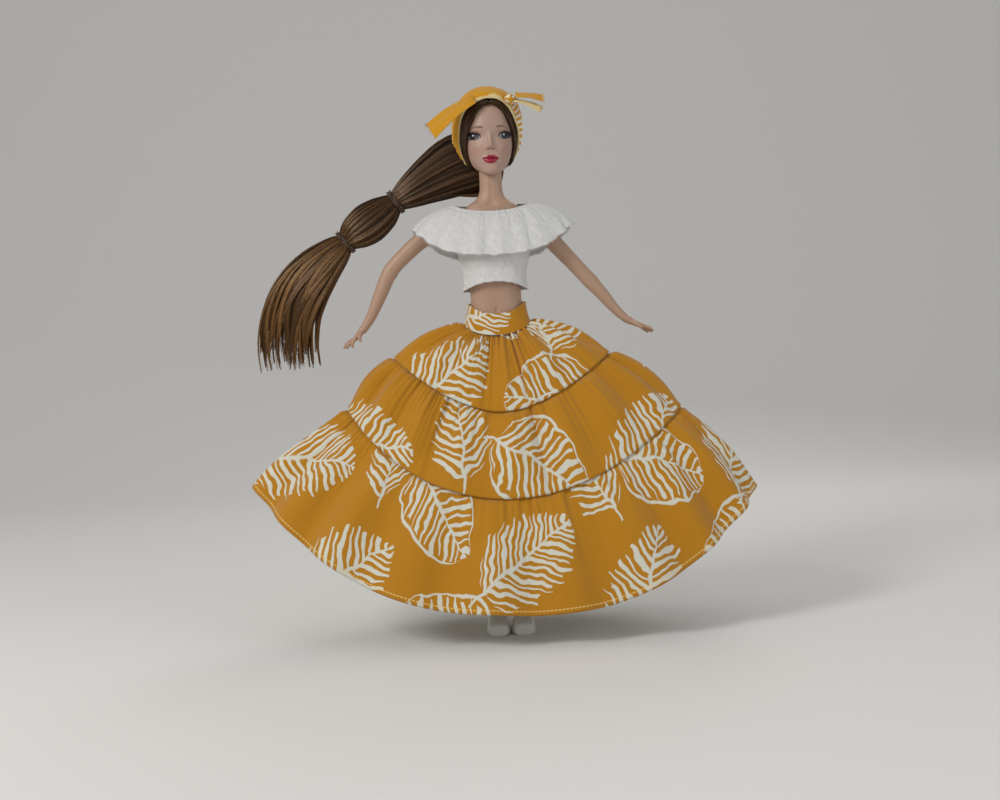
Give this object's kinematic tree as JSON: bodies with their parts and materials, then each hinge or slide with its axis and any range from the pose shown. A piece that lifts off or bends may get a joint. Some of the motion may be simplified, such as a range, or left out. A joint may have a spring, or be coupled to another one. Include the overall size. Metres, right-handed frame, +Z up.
{
  "type": "fashion doll",
  "caption": "Jointed fashion doll with long gathered hair, headscarf, off-shoulder ruffled top, tiered full skirt and flat-soled shoes.",
  "frame": {"origin": "on the ground midway between the soles", "axes": "+Z up the body, the face looks along -Y, the doll's left side is +X"},
  "size_m": [0.2725, 0.1079, 0.2946],
  "materials": {
    "skin": "satin",
    "vinyl": "satin",
    "nylon": "satin",
    "hair": "satin",
    "elastic": "matte",
    "white_elastic": "matte",
    "printed_cotton": "matte",
    "white_cloth": "matte",
    "hook_tape": "matte",
    "shoe_plastic": "satin"
  },
  "bodies": {
    "torso": {"torso_front_shell": "skin", "torso_back_shell": "skin", "neck_knob": "nylon", "bodice": "white_cloth", "ruffle_collar": "white_cloth", "neckline_elastic": "white_elastic", "skirt_waistband": "printed_cotton", "top_closure": "hook_tape", "skirt_closure": "hook_tape"},
    "head": {"head_shell": "vinyl", "hair_cap": "hair", "hair_tail": "hair", "hair_tie_upper": "elastic", "hair_tie_lower": "elastic", "headscarf_band": "printed_cotton", "scarf_knot": "printed_cotton", "scarf_end_upper": "printed_cotton", "scarf_end_lower": "printed_cotton", "scarf_end_left": "printed_cotton"},
    "left_shoulder": {"left_shoulder_swivel": "nylon", "left_shoulder_pin": "nylon"},
    "right_shoulder": {"right_shoulder_swivel": "nylon", "right_shoulder_pin": "nylon"},
    "left_arm": {"left_arm": "skin", "left_ruffle_cap": "white_cloth"},
    "right_arm": {"right_arm": "skin", "right_ruffle_cap": "white_cloth"},
    "hips": {"hip_axle": "nylon", "skirt_upper_tier": "printed_cotton", "skirt_middle_tier": "printed_cotton", "skirt_lower_tier": "printed_cotton"},
    "left_leg": {"left_leg": "skin", "left_shoe": "shoe_plastic"},
    "right_leg": {"right_leg": "skin", "right_shoe": "shoe_plastic"}
  },
  "joints": [
    {"name": "neck_turn", "type": "hinge", "parent": "torso", "child": "head", "pos_m": [0, 0, 0.2502], "axis": [0, 0, 1], "range_deg": [-75, 75], "deforming": ["hair_tail", "hair_tie_upper", "hair_tie_lower"]},
    {"name": "left_arm_swing", "type": "hinge", "parent": "torso", "child": "left_shoulder", "pos_m": [0.0225, 0, 0.223], "axis": [-1, 0, 0], "range_deg": [-40, 90], "deforming": ["ruffle_collar"]},
    {"name": "right_arm_swing", "type": "hinge", "parent": "torso", "child": "right_shoulder", "pos_m": [-0.0225, 0, 0.223], "axis": [-1, 0, 0], "range_deg": [-40, 90]},
    {"name": "left_arm_raise", "type": "hinge", "parent": "left_shoulder", "child": "left_arm", "pos_m": [0.0225, 0, 0.223], "axis": [0, -1, 0], "range_deg": [-5, 75], "deforming": ["left_ruffle_cap"]},
    {"name": "right_arm_raise", "type": "hinge", "parent": "right_shoulder", "child": "right_arm", "pos_m": [-0.0225, 0, 0.223], "axis": [0, 1, 0], "range_deg": [-5, 75], "deforming": ["right_ruffle_cap"]},
    {"name": "hip_bend", "type": "hinge", "parent": "torso", "child": "hips", "pos_m": [0, 0, 0.15], "axis": [-1, 0, 0], "range_deg": [0, 80], "deforming": ["skirt_upper_tier"]},
    {"name": "left_leg_swing", "type": "hinge", "parent": "hips", "child": "left_leg", "pos_m": [0.0145, 0, 0.15], "axis": [-1, 0, 0], "range_deg": [-12, 10]},
    {"name": "right_leg_swing", "type": "hinge", "parent": "hips", "child": "right_leg", "pos_m": [-0.0145, 0, 0.15], "axis": [-1, 0, 0], "range_deg": [-12, 10]}
  ]
}
